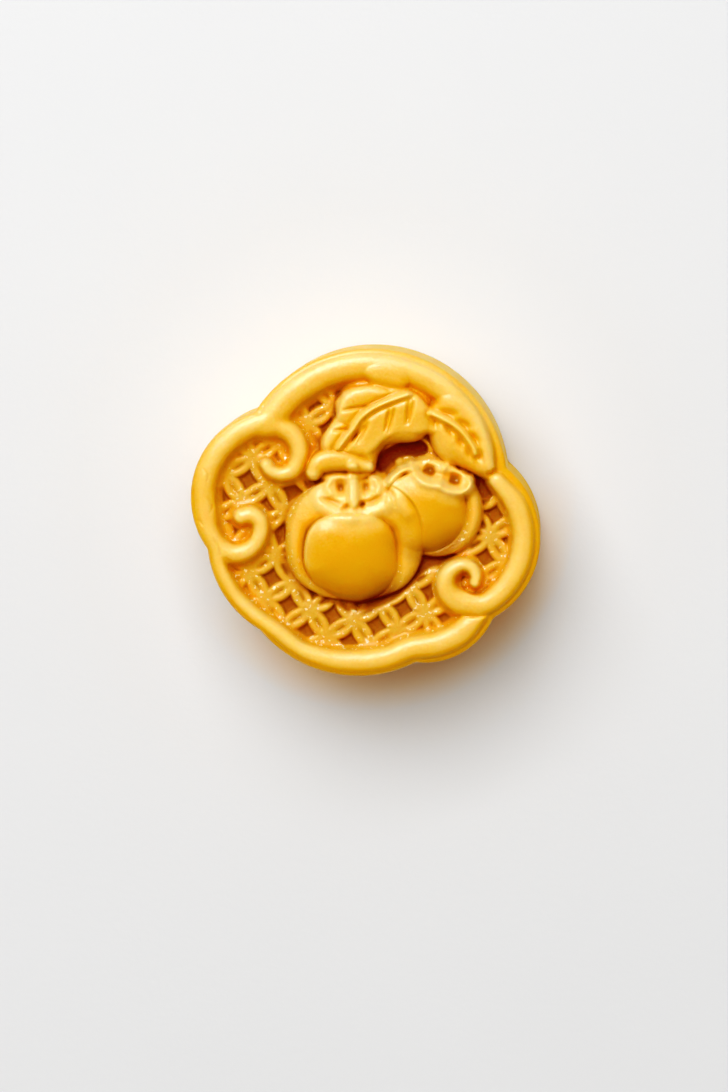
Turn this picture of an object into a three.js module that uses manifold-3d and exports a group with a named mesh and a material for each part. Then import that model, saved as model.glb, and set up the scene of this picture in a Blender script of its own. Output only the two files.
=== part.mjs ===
// Press-moulded mooncake: a cloud-shaped cake of pale dough, solid right through. Its top carries a raised
// rim that ends in three scrolls, a floor pierced with a coin pattern, two persimmons, two leaves and a twig.
// Millimetres, +Z up. The origin is the middle of the base, and +Y points to the leafy end of the cake.

import * as THREE from 'three';
import { mergeGeometries, mergeVertices } from 'three/addons/utils/BufferGeometryUtils.js';
import Module from 'manifold-3d';

const wasm = await Module();
wasm.setup();

// Levels of the moulded face
const LEDGE_Z = 23.2;
const RIM_Z = 24.7;
const FLOOR_Z = 22.4;
const PIT_Z = 21.3;
const SLIT_Z = 22.0;
const ROOT_Z = 21.2;
const CLEAR_Z = 27.0;

// The wall: six round lobes, anticlockwise from the right, with rounded nooks between them
const RIGHT_LOBE = { x: 12.05, y: -3.7, r: 13.1 };
const UPPER_LOBE = { x: 0.75, y: 3.9, r: 19.7 };
const LEFT_LOBE = { x: -12.35, y: 2.2, r: 12.8 };
const LOWER_LEFT_LOBE = { x: -7.5, y: -3.7, r: 15.3 };
const LOWER_LOBE = { x: -1.1, y: -5.4, r: 18.2 };
const LOWER_RIGHT_LOBE = { x: 8.55, y: -10.95, r: 10.7 };
const LOBES = [RIGHT_LOBE, UPPER_LOBE, LEFT_LOBE, LOWER_LEFT_LOBE, LOWER_LOBE, LOWER_RIGHT_LOBE];
const NOOK_RADIUS = 1.2;
const EDGE_ROUND = 0.6;
const EDGE_STEPS = 2;
const FOOT_SPREAD = 0.01;
const WALL_STEP = 2.0;
const NOOK_STEPS = 3;
const FLOOR_INSET = 2.6;

// The coin pattern: a square grid of four-pointed pits, with a slit through each petal between two pits
const COIN_PITCH = 4.6;
const COIN_TURN = THREE.MathUtils.degToRad(32);
const COIN_START = { x: -8.7, y: -17.3 };
const COIN_REACH = 9;
const COIN_MARGIN = 3.3;
const PIT_CORNER = 1.6;
const PIT_WAIST = 0.72;
const SLIT_LENGTH = 1.7;
const SLIT_WIDTH = 0.75;
const PIT_DRAFT = 0.72;
const PIT_OVERSHOOT = 1;

// Points along a lobe, at an inset from its wall and at given bearings in degrees
function alongLobe(lobe, inset, bearings) {
  return bearings.map((bearing) => {
    const turn = THREE.MathUtils.degToRad(bearing);
    return [lobe.x + (lobe.r - inset) * Math.cos(turn), lobe.y + (lobe.r - inset) * Math.sin(turn)];
  });
}

// Rim ridges: crest lines that follow the lobes and end in scrolls, with half widths spread evenly along them
const LEFT_RIDGE = {
  crest: [
    [-14.0, 7.4], [-12.4, 5.7], [-10.3, 6.2], [-9.5, 8.4], [-10.8, 11.2],
    ...alongLobe(LEFT_LOBE, 1.9, [99, 121, 145, 170, 195]),
    [-21.2, -4.0], [-18.3, -5.5], [-15.7, -4.4], [-15.0, -1.9], [-16.3, -0.5], [-18.2, -0.9],
  ],
  halfWidths: [0.8, 1.15, 1.35, 1.6, 1.75, 1.75, 1.7, 1.5, 1.4, 1.25, 0.85],
};
const LOWER_RIDGE = {
  crest: [
    ...alongLobe(LOWER_LEFT_LOBE, 1.4, [186, 200, 216, 232]),
    ...alongLobe(LOWER_LOBE, 1.8, [224, 240, 255, 270, 285, 298]),
    ...alongLobe(LOWER_RIGHT_LOBE, 2.4, [285, 310, 335]),
  ],
  halfWidths: [1.2, 1.3, 1.3, 1.4, 1.6, 1.75, 1.75, 1.8, 1.7],
};
const RIGHT_RIDGE = {
  crest: [
    ...alongLobe(RIGHT_LOBE, 2.3, [50, 25, 2, -20, -42, -62]),
    [12.9, -12.6], [11.2, -10.0], [12.0, -7.7], [14.1, -7.2], [15.7, -8.9],
  ],
  halfWidths: [1.5, 1.75, 1.75, 1.75, 1.7, 1.6, 1.5, 1.35, 1.15, 0.8],
};
const UPPER_RIDGE = { crest: alongLobe(UPPER_LOBE, 2.4, [149, 130, 110, 90]), halfWidths: [1.3, 1.75, 1.75] };
const UPPER_RIGHT_RIDGE = {
  crest: alongLobe(UPPER_LOBE, 2.5, [88, 68, 48, 30, 18]),
  halfWidths: [1.75, 1.8, 1.8, 1.5],
};
const RIDGE_STEP = 1.35;
const RIDGE_SIDES = 10;
const CAP_STEPS = 3;
const HOLLOW_STEP = 2.7;
const HOLLOW_SIDES = 6;

// Persimmons: a flat round body, a proud ball in front, and the creases between them
const FRONT_FRUIT = {
  swells: [
    { x: -1.7, y: -3.8, halfX: 9.9, halfY: 8.9, top: 25.0, flatness: 0.6 },
    { x: -2.3, y: -6.2, halfX: 6.7, halfY: 6.3, top: 26.5, flatness: 0.7 },
  ],
  creases: [
    [[-7.2, -0.6], [-8.7, -2.6], [-9.0, -4.8], [-8.4, -7.2], [-6.8, -9.8]],
    [[3.4, -1.4], [4.4, -4.0], [4.2, -6.8], [2.8, -9.6], [0.8, -11.6]],
  ],
};
const REAR_FRUIT = {
  swells: [
    { x: 10.2, y: 0.1, halfX: 6.7, halfY: 6.5, top: 24.7, flatness: 0.6 },
    { x: 9.4, y: -0.4, halfX: 5.0, halfY: 5.2, top: 26.0, flatness: 0.75 },
  ],
  creases: [
    [[14.5, 1.5], [14.3, -1.0], [13.2, -3.0], [11.2, -4.6], [8.8, -6.0]],
  ],
};
const FRUIT_STEPS = { around: 28, down: 6 };
const CREASE_HALF_WIDTH = 0.7;
const CREASE_Z = 23.6;

// Calyx of each persimmon: a leafy collar with dimples between its points, and a stalk on the front one
const FRONT_COLLAR = {
  outline: [[2.7, 4.9], [1.9, 6.0], [-0.4, 5.2], [-2.7, 5.3], [-5.0, 5.2], [-7.0, 4.3], [-7.8, 2.0],
    [-6.2, 0.3], [-4.3, -0.8], [-1.7, -1.2], [1.0, -0.8], [2.9, 0.0], [4.2, 1.6], [4.6, 3.2]],
  top: 25.5,
  dimples: [[[-3.4, 4.6], [-3.4, 2.8]], [[-0.1, 4.9], [-0.1, 3.1]], [[-5.9, 2.2], [-4.4, 2.1]],
    [[-3.4, 1.6], [-2.6, 0.8]], [[-0.6, 1.6], [-0.5, 1.1]], [[0.6, 1.2], [1.6, 2.2]]],
};
const REAR_COLLAR = {
  outline: [[11.7, 7.5], [9.0, 8.0], [6.5, 7.6], [4.3, 6.4], [3.2, 4.4], [5.2, 4.4], [7.9, 4.4], [10.2, 3.4],
    [12.4, 2.7], [14.6, 3.0], [15.3, 5.2], [13.9, 6.6]],
  top: 25.4,
  dimples: [[[8.3, 6.7], [9.4, 5.9]], [[12.4, 5.0], [13.8, 4.4]]],
};
const DIMPLE_HALF_WIDTH = 0.55;
const DIMPLE_Z = 24.2;
const STALK = { crest: [[-1.75, 6.6], [-1.5, 2.4]], halfWidths: [0.75, 0.65], top: 25.6 };

// Leaves: rounded pads, with veins pressed into them
const LEAF_PADS = [
  { outline: [[0.0, 22.0], [-0.4, 19.4], [1.4, 17.6], [4.3, 16.9], [7.0, 18.6], [5.6, 20.6], [2.6, 21.6]],
    top: 25.2 },
  { outline: [[2.0, 18.7], [-2.0, 18.3], [-4.2, 16.8], [-4.7, 14.8], [-3.8, 12.8], [-0.4, 13.8], [4.4, 16.4]],
    top: 25.2 },
  { outline: [[7.2, 17.6], [2.4, 16.8], [-1.4, 15.0], [-2.8, 12.6], [-1.4, 9.8], [0.8, 6.4], [2.2, 8.0],
    [3.8, 9.6], [7.4, 10.2], [9.2, 12.4], [9.7, 15.3]], top: 25.3 },
  { outline: [[0.4, 13.0], [-3.2, 14.0], [-5.5, 12.5], [-6.8, 10.6], [-6.4, 8.2], [-3.0, 7.6], [0.8, 6.8]],
    top: 24.9 },
  { outline: [[8.8, 15.4], [8.9, 12.4], [9.0, 9.6], [10.0, 7.4], [12.9, 6.4], [15.7, 5.3], [18.5, 3.4],
    [19.5, 7.6], [18.6, 11.8], [16.6, 14.9], [14.0, 17.2], [11.4, 17.2]], top: 25.1 },
];
const PAD_FLATNESS = 0.7;
const PAD_STEPS = { around: 26, down: 4 };
const VEINS = [
  [[5.8, 17.2], [2.4, 15.8], [-1.0, 13.2], [-4.0, 9.4]],
  [[6.4, 15.9], [5.6, 12.9]],
  [[3.6, 15.4], [2.6, 11.6]],
  [[0.8, 13.9], [-0.8, 9.8]],
  [[-0.2, 14.6], [-3.2, 14.8]],
  [[-2.4, 12.0], [-4.9, 11.9]],
  [[10.2, 14.3], [13.0, 12.9], [15.0, 10.8], [16.3, 7.9]],
  [[11.6, 13.4], [13.9, 14.4]],
  [[14.2, 11.8], [16.2, 11.6]],
  [[11.0, 13.2], [10.7, 10.9]],
  [[13.2, 12.2], [13.4, 9.2]],
];
const VEIN_HALF_WIDTH = 0.32;
const VEIN_BOTTOM = 24.5;

// The twig under the big leaf, thick at its cut end
const TWIG = {
  crest: [[-7.0, 6.0], [-5.2, 7.2], [-2.2, 7.3], [1.4, 6.8]],
  halfWidths: [1.1, 1.25, 1.0],
  top: 25.4,
};

// Corners closer than this are one corner
const WELD = 1e-5;

// Turns a closed three.js geometry into a solid
function solidOf(geometry) {
  const bare = geometry.index ? geometry.toNonIndexed() : geometry.clone();
  bare.deleteAttribute('normal');
  bare.deleteAttribute('uv');
  const merged = mergeVertices(bare, WELD);
  const corners = merged.index.array;
  const kept = [];
  for (let i = 0; i < corners.length; i += 3) {
    const [a, b, c] = corners.slice(i, i + 3);
    if (a !== b && b !== c && c !== a) {
      kept.push(a, b, c);
    }
  }
  const mesh = new wasm.Mesh({
    numProp: 3,
    vertProperties: new Float32Array(merged.attributes.position.array),
    triVerts: new Uint32Array(kept),
  });
  return new wasm.Manifold(mesh);
}

// Gives a solid back as a three.js geometry
function geometryOf(solid) {
  const mesh = solid.getMesh();
  const geometry = new THREE.BufferGeometry();
  geometry.setAttribute('position', new THREE.BufferAttribute(mesh.vertProperties, 3));
  geometry.setIndex(new THREE.BufferAttribute(mesh.triVerts, 1));
  geometry.computeVertexNormals();
  return geometry;
}

// Moves every corner of a geometry by a rule
function remap(geometry, rule) {
  const places = geometry.attributes.position;
  const corner = new THREE.Vector3();
  for (let i = 0; i < places.count; i += 1) {
    corner.fromBufferAttribute(places, i);
    const moved = rule(corner);
    places.setXYZ(i, moved.x, moved.y, moved.z);
  }
  return geometry;
}

// The value at u, 0 to 1, of a list spread evenly from end to end
function alongList(list, u) {
  const place = THREE.MathUtils.clamp(u, 0, 1) * (list.length - 1);
  const low = Math.min(Math.floor(place), list.length - 2);
  return THREE.MathUtils.lerp(list[low], list[low + 1], place - low);
}

// Centre of the round nook that touches two neighbouring lobes from outside
function nookCentre(a, b) {
  const reachA = a.r + NOOK_RADIUS;
  const reachB = b.r + NOOK_RADIUS;
  const apart = Math.hypot(b.x - a.x, b.y - a.y);
  const along = (reachA ** 2 - reachB ** 2 + apart ** 2) / (2 * apart);
  const aside = Math.sqrt(reachA ** 2 - along ** 2);
  const ux = (b.x - a.x) / apart;
  const uy = (b.y - a.y) / apart;
  return new THREE.Vector2(a.x + ux * along + uy * aside, a.y + uy * along - ux * aside);
}

// Points on an arc, without its last one
function arcPoints(x, y, radius, from, to, clockwise, steps) {
  const arc = new THREE.EllipseCurve(x, y, radius, radius, from, to, clockwise);
  return arc.getPoints(steps).slice(0, -1);
}

// The cloud outline moved inwards by an inset, lobe by lobe with a nook after each
function cloudPoints(inset = 0) {
  const points = [];
  LOBES.forEach((lobe, i) => {
    const before = LOBES[(i + LOBES.length - 1) % LOBES.length];
    const after = LOBES[(i + 1) % LOBES.length];
    const nookIn = nookCentre(before, lobe);
    const nookOut = nookCentre(lobe, after);
    const from = Math.atan2(nookIn.y - lobe.y, nookIn.x - lobe.x);
    const to = Math.atan2(nookOut.y - lobe.y, nookOut.x - lobe.x);
    const sweep = THREE.MathUtils.euclideanModulo(to - from, 2 * Math.PI);
    const steps = Math.ceil(sweep * lobe.r / WALL_STEP);
    points.push(...arcPoints(lobe.x, lobe.y, lobe.r - inset, from, to, false, steps));
    const nookFrom = Math.atan2(lobe.y - nookOut.y, lobe.x - nookOut.x);
    const nookTo = Math.atan2(after.y - nookOut.y, after.x - nookOut.x);
    points.push(...arcPoints(nookOut.x, nookOut.y, NOOK_RADIUS + inset, nookFrom, nookTo, true, NOOK_STEPS));
  });
  return points;
}

// The cake's block, with a rounded foot and shoulder, a little wider at the foot
function cakeBlock() {
  const geometry = new THREE.ExtrudeGeometry(new THREE.Shape(cloudPoints()), {
    depth: LEDGE_Z - 2 * EDGE_ROUND,
    bevelThickness: EDGE_ROUND,
    bevelSize: EDGE_ROUND,
    bevelOffset: -EDGE_ROUND,
    bevelSegments: EDGE_STEPS,
  });
  geometry.translate(0, 0, EDGE_ROUND);
  remap(geometry, ({ x, y, z }) => {
    const spread = 1 + FOOT_SPREAD * (1 - z / LEDGE_Z);
    return { x: x * spread, y: y * spread, z };
  });
  return solidOf(geometry);
}

// What is pressed out of the block above the floor, inside the rim
function floorCutter() {
  const geometry = new THREE.ExtrudeGeometry(new THREE.Shape(cloudPoints(FLOOR_INSET)), {
    depth: CLEAR_Z - FLOOR_Z,
    bevelEnabled: false,
  });
  return solidOf(geometry.translate(0, 0, FLOOR_Z));
}

// A pit cutter from the ledge level down to bottom, narrower below
function pitCutter(shape, bottom) {
  const geometry = new THREE.ExtrudeGeometry(shape, {
    depth: LEDGE_Z + PIT_OVERSHOOT - bottom,
    bevelEnabled: false,
    curveSegments: 2,
  });
  const height = LEDGE_Z - bottom;
  return remap(geometry, ({ x, y, z }) => {
    const spread = THREE.MathUtils.lerp(PIT_DRAFT, 1, z / height);
    return { x: x * spread, y: y * spread, z: z + bottom };
  });
}

function fourPointShape() {
  const shape = new THREE.Shape();
  shape.moveTo(PIT_CORNER, 0);
  shape.quadraticCurveTo(PIT_WAIST, PIT_WAIST, 0, PIT_CORNER);
  shape.quadraticCurveTo(-PIT_WAIST, PIT_WAIST, -PIT_CORNER, 0);
  shape.quadraticCurveTo(-PIT_WAIST, -PIT_WAIST, 0, -PIT_CORNER);
  shape.quadraticCurveTo(PIT_WAIST, -PIT_WAIST, PIT_CORNER, 0);
  return shape;
}

function lensShape() {
  const shape = new THREE.Shape();
  shape.moveTo(SLIT_LENGTH / 2, 0);
  shape.quadraticCurveTo(0, SLIT_WIDTH, -SLIT_LENGTH / 2, 0);
  shape.quadraticCurveTo(0, -SLIT_WIDTH, SLIT_LENGTH / 2, 0);
  return shape;
}

// True where a point lies inside the cloud outline by at least the margin
function insideCloud(x, y, margin) {
  return LOBES.some((lobe) => Math.hypot(x - lobe.x, y - lobe.y) < lobe.r - margin);
}

// All pits and slits of the coin pattern
function coinPattern() {
  const cutters = [];
  const place = (geometry, i, j, turn) => {
    const x = COIN_START.x + COIN_PITCH * (i * Math.cos(COIN_TURN) - j * Math.sin(COIN_TURN));
    const y = COIN_START.y + COIN_PITCH * (i * Math.sin(COIN_TURN) + j * Math.cos(COIN_TURN));
    if (insideCloud(x, y, COIN_MARGIN)) {
      cutters.push(geometry.rotateZ(COIN_TURN + turn).translate(x, y, 0));
    }
  };
  for (let i = -COIN_REACH; i <= COIN_REACH; i += 1) {
    for (let j = -COIN_REACH; j <= COIN_REACH; j += 1) {
      place(pitCutter(fourPointShape(), PIT_Z), i, j, Math.PI / 4);
      place(pitCutter(lensShape(), SLIT_Z), i + 0.5, j, Math.PI / 2);
      place(pitCutter(lensShape(), SLIT_Z), i, j + 0.5, 0);
    }
  }
  return solidOf(mergeGeometries(cutters));
}

// A round-ended bar bent along a line, standing up or cutting down from middle to reach
function bar(line, halfWidths, middle, reach, step = RIDGE_STEP, sides = RIDGE_SIDES) {
  const points = line.map(([x, y]) => new THREE.Vector3(x, y, 0));
  const path = new THREE.CatmullRomCurve3(points, false, 'centripetal');
  const steps = Math.max(1, Math.round(path.getLength() / step));
  const geometry = new THREE.CapsuleGeometry(1, 1, CAP_STEPS, sides, steps);
  return solidOf(remap(geometry, ({ x, y, z }) => {
    const u = THREE.MathUtils.clamp(y + 0.5, 0, 1);
    const beyond = y + 0.5 - u;
    const at = path.getPointAt(u);
    const ahead = path.getTangentAt(u);
    const half = alongList(halfWidths, u);
    return {
      x: at.x + (ahead.x * beyond + ahead.y * x) * half,
      y: at.y + (ahead.y * beyond - ahead.x * x) * half,
      z: middle + z * reach,
    };
  }));
}

// A ridge with its lower half sunk in the cake
const ridge = ({ crest, halfWidths, top = RIM_Z }) => bar(crest, halfWidths, ROOT_Z, top - ROOT_Z);

// A short pressed hollow, cut from well above the dough down to bottom
function hollow(line, halfWidth, bottom) {
  return bar(line, [halfWidth, halfWidth], CLEAR_Z, CLEAR_Z - bottom, HOLLOW_STEP, HOLLOW_SIDES);
}

// A swollen round of fruit, more flat-topped the lower its flatness
function swell({ x, y, halfX, halfY, top, flatness }) {
  const geometry = new THREE.SphereGeometry(1, FRUIT_STEPS.around, 2 * FRUIT_STEPS.down);
  geometry.rotateX(Math.PI / 2);
  return solidOf(remap(geometry, (corner) => {
    const stretch = Math.max(Math.hypot(corner.x, corner.y), WELD) ** (flatness - 1);
    return {
      x: x + corner.x * stretch * halfX,
      y: y + corner.y * stretch * halfY,
      z: ROOT_Z + corner.z * (top - ROOT_Z),
    };
  }));
}

// A pad: a dome whose rings follow an outline, flattened on top
function pad({ outline, top }) {
  const points = outline.map(([x, y]) => new THREE.Vector3(x, y, 0));
  const curve = new THREE.CatmullRomCurve3(points, true, 'centripetal');
  const middle = points.reduce((sum, p) => sum.add(p), new THREE.Vector3()).divideScalar(points.length);
  const geometry = new THREE.SphereGeometry(1, PAD_STEPS.around, 2 * PAD_STEPS.down);
  geometry.rotateX(Math.PI / 2);
  return solidOf(remap(geometry, ({ x, y, z }) => {
    const u = THREE.MathUtils.euclideanModulo(Math.atan2(y, x) / (2 * Math.PI), 1);
    const edge = curve.getPoint(u);
    const reach = Math.hypot(x, y) ** PAD_FLATNESS;
    return {
      x: THREE.MathUtils.lerp(middle.x, edge.x, reach),
      y: THREE.MathUtils.lerp(middle.y, edge.y, reach),
      z: ROOT_Z + (top - ROOT_Z) * z,
    };
  }));
}

const joined = (solids) => solids.reduce((whole, piece) => whole.add(piece));
const pressed = (solid, lines, halfWidth, bottom) => (
  solid.subtract(joined(lines.map((line) => hollow(line, halfWidth, bottom))))
);

// A creased persimmon under its dimpled collar
function persimmon({ swells, creases }, collar) {
  const fruit = pressed(joined(swells.map(swell)), creases, CREASE_HALF_WIDTH, CREASE_Z);
  return pressed(joined([fruit, pad(collar)]), collar.dimples, DIMPLE_HALF_WIDTH, DIMPLE_Z);
}

const cake = joined([
  cakeBlock().subtract(floorCutter()).subtract(coinPattern()),
  ...[LEFT_RIDGE, LOWER_RIDGE, RIGHT_RIDGE, UPPER_RIDGE, UPPER_RIGHT_RIDGE].map(ridge),
  pressed(joined(LEAF_PADS.map(pad)), VEINS, VEIN_HALF_WIDTH, VEIN_BOTTOM),
  ridge(TWIG),
  persimmon(REAR_FRUIT, REAR_COLLAR),
  persimmon(FRONT_FRUIT, FRONT_COLLAR),
  ridge(STALK),
]);

const dough = new THREE.MeshStandardMaterial({ color: 0xe0a43a, roughness: 0.5, metalness: 0 });
const mooncake = new THREE.Mesh(geometryOf(cake), dough);
mooncake.name = 'mooncake';

const model = new THREE.Group();
model.add(mooncake);

export default model;
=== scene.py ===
"""A press-moulded mooncake on a pale floor: one cake of golden translucent dough, seen from above.

The moulded face is worked out as a height map in millimetres, skinned as one closed mesh with the cake's
wall and base, and shaded by a procedural dough material. Run it as a script inside Blender.
"""

import math

import bpy
import numpy as np
from mathutils import Matrix, Vector


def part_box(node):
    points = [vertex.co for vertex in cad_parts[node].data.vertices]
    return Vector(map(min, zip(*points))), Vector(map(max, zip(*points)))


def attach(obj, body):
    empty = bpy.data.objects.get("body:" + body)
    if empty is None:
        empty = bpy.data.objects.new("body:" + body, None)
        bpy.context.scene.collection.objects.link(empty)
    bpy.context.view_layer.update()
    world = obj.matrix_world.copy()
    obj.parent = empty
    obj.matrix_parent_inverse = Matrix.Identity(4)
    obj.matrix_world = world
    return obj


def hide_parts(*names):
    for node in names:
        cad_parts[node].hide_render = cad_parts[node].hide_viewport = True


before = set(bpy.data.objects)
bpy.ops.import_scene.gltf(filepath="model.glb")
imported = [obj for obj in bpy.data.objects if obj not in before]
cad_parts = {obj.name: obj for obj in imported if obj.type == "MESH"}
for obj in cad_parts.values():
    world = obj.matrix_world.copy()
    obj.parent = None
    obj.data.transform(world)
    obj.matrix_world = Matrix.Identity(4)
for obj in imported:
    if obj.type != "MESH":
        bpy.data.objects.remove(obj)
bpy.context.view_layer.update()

bl_info = {
    "name": "Pressed Mooncake",
    "version": (1, 0, 0),
    "blender": (4, 5, 0),
    "location": "View3D > Sidebar > Mooncake",
    "description": "Builds a press-moulded mooncake with a fruit relief and its dough",
    "category": "Add Mesh",
}

MM = 0.001
CAKE = "mooncake"

# Levels of the moulded face, in millimetres, measured down from the highest point of the frame: the ledge,
# the coin pattern, the lowest foot of fruit and leaves, and the bottom of the pockets
FACE_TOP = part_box(CAKE)[1].z / MM
LEDGE_Z = FACE_TOP - 3.3
FLOOR_Z = LEDGE_Z - 0.8
FOOT_Z = FLOOR_Z - 0.3
ROOT_Z = FLOOR_Z - 1.1

# A height below the whole relief, for places that a piece doesn't reach, and how far inside a piece's edge
# the ground beneath it has sunk away
NOWHERE = ROOT_Z - 5
UNDERCUT = 0.4

# The wall: the centre and radius of six round lobes, anticlockwise from the right, with rounded nooks between
# them, rounded upper and lower edges, and a slight spread towards the foot
RIGHT_LOBE = (12.05, -3.7, 13.1)
UPPER_LOBE = (0.75, 3.9, 19.7)
LEFT_LOBE = (-12.35, 2.2, 12.8)
LOWER_LEFT_LOBE = (-7.5, -3.7, 15.3)
LOWER_LOBE = (-1.1, -5.4, 18.2)
LOWER_RIGHT_LOBE = (8.55, -10.95, 10.7)
LOBES = (RIGHT_LOBE, UPPER_LOBE, LEFT_LOBE, LOWER_LEFT_LOBE, LOWER_LOBE, LOWER_RIGHT_LOBE)
NOOK_RADIUS = 1.2
EDGE_ROUND = 0.6
FOOT_SPREAD = 0.009


def along_lobe(lobe, inset, half, bearings):
    """Crest points along a lobe, at an inset from its wall, with a half width, at bearings in degrees."""
    x, y, radius = lobe
    turns = [math.radians(bearing) for bearing in bearings]
    return [(x + (radius - inset) * math.cos(t), y + (radius - inset) * math.sin(t), half) for t in turns]


# Rim ridges: a crest line from end to end, each point with the ridge's half width there
LEFT_RIDGE = [
    (-14.2, 6.9, 0.9), (-13.6, 6.0, 1.0), (-12.0, 5.5, 1.1), (-10.4, 6.1, 1.25), (-9.5, 7.6, 1.3),
    (-9.5, 9.4, 1.35), (-10.5, 11.2, 1.4), (-12.3, 12.4, 1.5),
    *along_lobe(LEFT_LOBE, 1.9, 1.65, (101, 121, 145, 170, 195)),
    (-22.5, -2.6, 1.55), (-21.5, -4.5, 1.5), (-20.2, -5.6, 1.45), (-18.8, -6.0, 1.4), (-17.0, -5.6, 1.3),
    (-15.6, -4.4, 1.2), (-15.0, -2.7, 1.2), (-15.3, -1.2, 1.2), (-16.4, -0.4, 1.25), (-17.7, -0.6, 1.2),
]
LOWER_RIDGE = [
    *along_lobe(LOWER_LEFT_LOBE, 1.3, 1.15, (186, 200, 216, 232)),
    *along_lobe(LOWER_LOBE, 1.6, 1.25, (226, 240)),
    *along_lobe(LOWER_LOBE, 1.8, 1.5, (255,)),
    *along_lobe(LOWER_LOBE, 2.0, 1.65, (270, 285, 298)),
    *along_lobe(LOWER_RIGHT_LOBE, 2.4, 1.75, (285, 310, 335)),
]
RIGHT_RIDGE = [
    *along_lobe(RIGHT_LOBE, 2.3, 1.15, (51,)),
    *along_lobe(RIGHT_LOBE, 2.3, 1.6, (25, 2, -20, -42, -62)),
    (14.4, -13.1, 1.8), (12.5, -12.1, 1.6), (11.7, -10.6, 1.45), (11.9, -9.0, 1.3), (12.9, -7.9, 1.15),
    (14.1, -7.5, 1.0), (15.2, -7.9, 0.95), (15.9, -9.0, 0.9), (15.8, -10.0, 0.8),
]
UPPER_RIDGE = [
    *along_lobe(UPPER_LOBE, 2.5, 1.9, (149, 130, 110, 95)),
    *along_lobe(UPPER_LOBE, 2.5, 1.75, (75, 55, 36)),
    *along_lobe(UPPER_LOBE, 2.4, 1.4, (20,)),
    *along_lobe(UPPER_LOBE, 2.3, 0.9, (9,)),
]

# These ridges merge where they meet, and the right one lies over them
MERGED_RIDGES = (LOWER_RIDGE, UPPER_RIDGE, LEFT_RIDGE)

# How far a rim ridge falls from its crest to its edge
RIDGE_CROWN = 1.25

# The coin pattern: the middle of one pit to start from, how much the floor wanders up and down, how high a
# strip's back stands, how wide a slit is, and how far the floor rises and how much of the pattern is left at
# the foot of the rim
COIN_START = (-8.7, -17.3)
FLOOR_WANDER = 0.1
STRIP_CROWN = 0.12
SLIT_HALF = 0.5
RIM_FILLET = 0.25
RIM_REST = 0.35

# Where the pattern was smeared flat, and the low gap along the front persimmon's lower right side, with
# painted shadow in it
SMEAR = {"centre": (-6.5, -20.0), "half": (4.0, 0.8)}
SMEAR_LOSS = 0.85
FRUIT_GAP = {
    "line": [(12.0, -6.2), (10.7, -6.7), (9.1, -7.1), (7.4, -8.3), (5.2, -10.2), (2.6, -11.9), (0.5, -12.9)],
    "half": 0.9, "drop": 0.7, "painted_shadow": 0.5,
}

# Persimmons: a low round body with a ball set into it. Centres, half sizes, drops below the face's top, and
# the powers that square the lower and upper half. The ball leans across and up the face, its lowest point
# sways aside, it falls less at its top than at its lowest part, and its crease differs from left to right
FRONT_FRUIT = {
    "body": {"centre": (-1.6, -3.9), "half": (10.0, 8.9), "drop": 1.85, "powers": (2.3, 2.4)},
    "ball": {
        "centre": (-2.15, -6.6), "half": (6.65, 6.5), "drop": 0.25, "lean": (-0.1, 0.16), "powers": (2, 2.8),
        "sway": 0.9, "falls": (2.2, 4.0), "creases": (0.6, 1.0),
    },
}
REAR_FRUIT = {
    "body": {"centre": (10.0, 0.3), "half": (6.9, 6.8), "drop": 2.0, "powers": (2, 2)},
    "ball": {
        "centre": (8.6, 0.0), "half": (5.9, 5.9), "drop": 0.7, "lean": (-0.04, 0.14), "powers": (2, 2.3),
        "sway": 0, "falls": (2.4, 3.0), "creases": (0.3, 1.0),
    },
}

# Calyx of each persimmon: a soft collar with the drops of its lower and upper end, sepals that swell on it,
# hollows between them, and the front one's stalk
FRONT_COLLAR = [
    (2.7, 4.9), (1.5, 5.6), (-0.4, 5.0), (-2.7, 5.2), (-5.0, 5.0), (-6.8, 4.2), (-7.6, 2.4),
    (-6.4, 0.6), (-4.4, -0.6), (-3.2, -0.9), (-1.4, -1.0), (0.6, -0.9), (2.6, -0.1), (4.6, 1.2), (4.6, 3.4),
]
FRONT_SEPALS = [
    {"crest": [(-2.8, 5.1), (-4.1, 5.1), (-5.1, 4.6), (-5.4, 3.7), (-4.9, 2.9)], "half": 0.55, "rise": 0.5},
    {"crest": [(-0.6, 5.3), (0.5, 5.5), (1.5, 4.8), (2.0, 3.8), (1.7, 2.9)], "half": 0.55, "rise": 0.5},
    {"crest": [(-6.3, 1.2), (-5.2, 0.3), (-3.8, -0.3), (-2.1, -0.4)], "half": 0.95, "rise": 0.4},
    {"crest": [(-1.6, -0.4), (0.5, -0.2), (2.2, 0.6), (3.5, 1.9)], "half": 0.95, "rise": 0.4},
    {"crest": [(4.7, 2.1), (6.1, 0.0)], "half": 0.9, "rise": 0.5},
]
FRONT_HOLLOWS = [
    {"line": [(-3.6, 4.2), (-3.5, 2.9)], "half": 0.55, "depth": 0.8},
    {"line": [(0.1, 4.4), (0.1, 3.0)], "half": 0.5, "depth": 0.7},
    {"line": [(-0.45, 1.3), (-0.4, 1.1)], "half": 0.45, "depth": 1.2},
    {"line": [(-6.2, 2.0), (-5.0, 1.8), (-3.8, 1.3)], "half": 0.38, "depth": 0.5},
    {"line": [(-3.1, 0.7), (-2.1, 1.3)], "half": 0.35, "depth": 0.5},
    {"line": [(-0.1, 1.5), (1.0, 1.7), (2.1, 2.4)], "half": 0.42, "depth": 0.55},
    {"line": [(3.4, 3.4), (4.0, 2.4), (4.3, 1.3)], "half": 0.4, "depth": 0.5},
]
FRONT_CALYX = {"collar": FRONT_COLLAR, "drops": (2.8, 1.75), "sepals": FRONT_SEPALS, "hollows": FRONT_HOLLOWS}
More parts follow.
